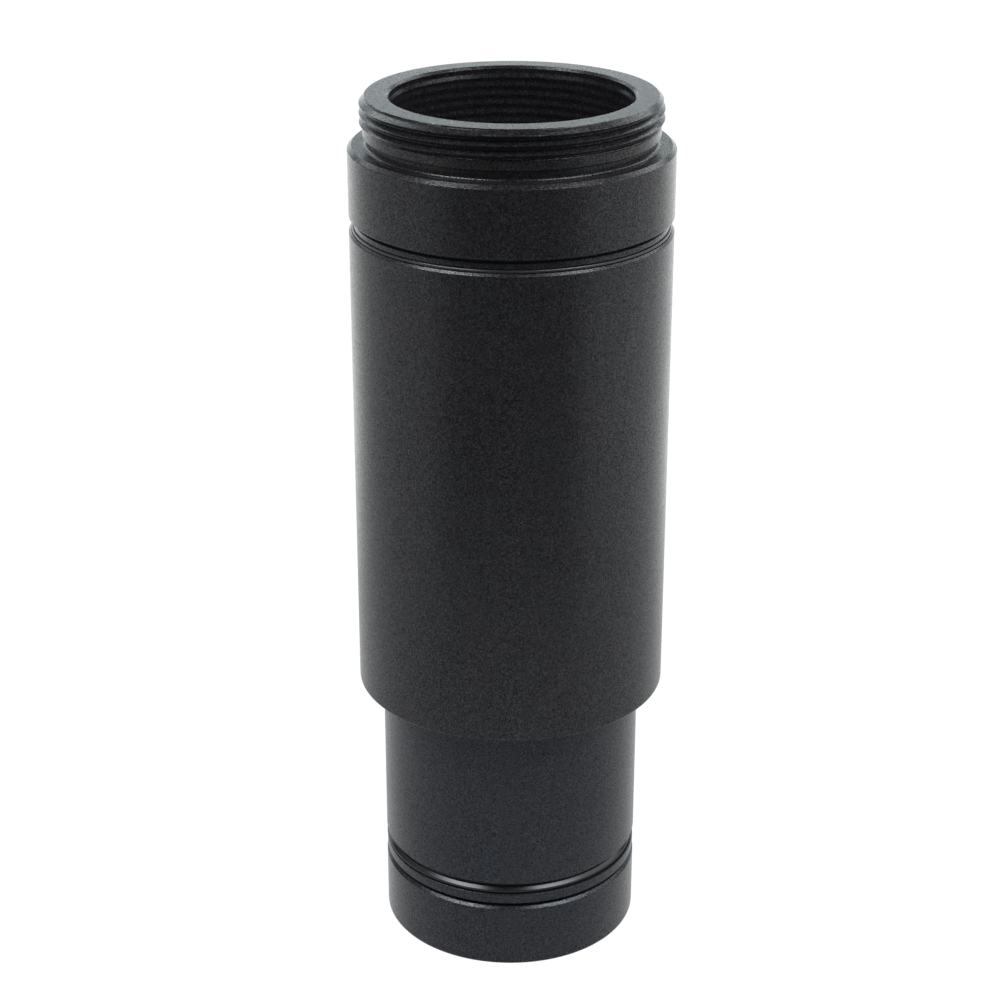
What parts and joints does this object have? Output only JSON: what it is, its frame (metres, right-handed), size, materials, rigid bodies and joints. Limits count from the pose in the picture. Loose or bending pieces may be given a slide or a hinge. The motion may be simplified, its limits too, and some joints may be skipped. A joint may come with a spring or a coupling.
{
  "type": "barlow lens",
  "caption": "Slim black tubular Barlow lens for a camera: threaded camera head with a collar, straight barrel, narrower nose tube and a ringed end cell that holds a negative doublet.",
  "frame": {"origin": "on the optical axis, in the plane of the end cell's lower face", "axes": "+Z along the optical axis, from the nose up to the camera; +X to the right and -Y towards the viewer"},
  "size_m": [0.0274, 0.0274, 0.0777],
  "materials": {
    "barrel_anodised": "satin black anodised, fine turned grain",
    "nose_anodised": "satin black anodised, slightly bluer than the barrel",
    "head_anodised": "satin black anodised, turned",
    "cell_anodised": "satin black anodised, turned",
    "lock_ring_anodised": "satin black anodised",
    "friction_ring_rubber": "smooth glossy black rubber",
    "washer_nylon": "thin dark nylon washer",
    "baffle_black": "matt black",
    "spacer_black": "matt black, ribbed against stray light",
    "stop_ring_black": "matt black, two spanner slots",
    "keeper_black": "black anodised, two spanner slots",
    "seat_black": "matt black washer",
    "crown_glass": "polished glass with a green-violet coating",
    "flint_glass": "polished glass"
  },
  "bodies": {
    "tube": {"main_barrel": "barrel_anodised", "nose_tube": "nose_anodised", "lower_baffle": "baffle_black", "lower_spacer_tube": "spacer_black", "upper_baffle": "baffle_black", "upper_spacer_tube": "spacer_black"},
    "head_washer": {"head_friction_washer": "washer_nylon"},
    "head": {"camera_head": "head_anodised", "head_stop_ring": "stop_ring_black"},
    "friction_ring": {"cell_friction_ring": "friction_ring_rubber"},
    "cell": {"end_cell": "cell_anodised", "crown_lens": "crown_glass", "flint_lens": "flint_glass", "lens_seat_ring": "seat_black", "lens_retaining_ring": "keeper_black"},
    "lock_ring": {"cell_lock_ring": "lock_ring_anodised"}
  },
  "joints": [
    {"name": "head_travel", "type": "slide", "parent": "tube", "child": "head_washer", "axis": [0, 0, 1], "range_m": [0, 0.00375]},
    {"name": "head_turn", "type": "hinge", "parent": "head_washer", "child": "head", "pos_m": [0, 0, 0.0667], "axis": [0, 0, 1], "range_deg": [0, 1801]},
    {"name": "cell_travel", "type": "slide", "parent": "tube", "child": "friction_ring", "axis": [0, 0, 1], "range_m": [-0.003, 0]},
    {"name": "cell_turn", "type": "hinge", "parent": "friction_ring", "child": "cell", "pos_m": [0, 0, 0.00605], "axis": [0, 0, 1], "range_deg": [-1441, 0]},
    {"name": "lock_ring_turn", "type": "hinge", "parent": "cell", "child": "lock_ring", "pos_m": [0, 0, 0.00645], "axis": [0, 0, 1], "range_deg": [-180, 0]}
  ],
  "couplings": [
    {"joint": "head_turn", "follows": "head_travel", "rad_per_m": 8377.6},
    {"joint": "cell_turn", "follows": "cell_travel", "rad_per_m": 8377.6}
  ]
}
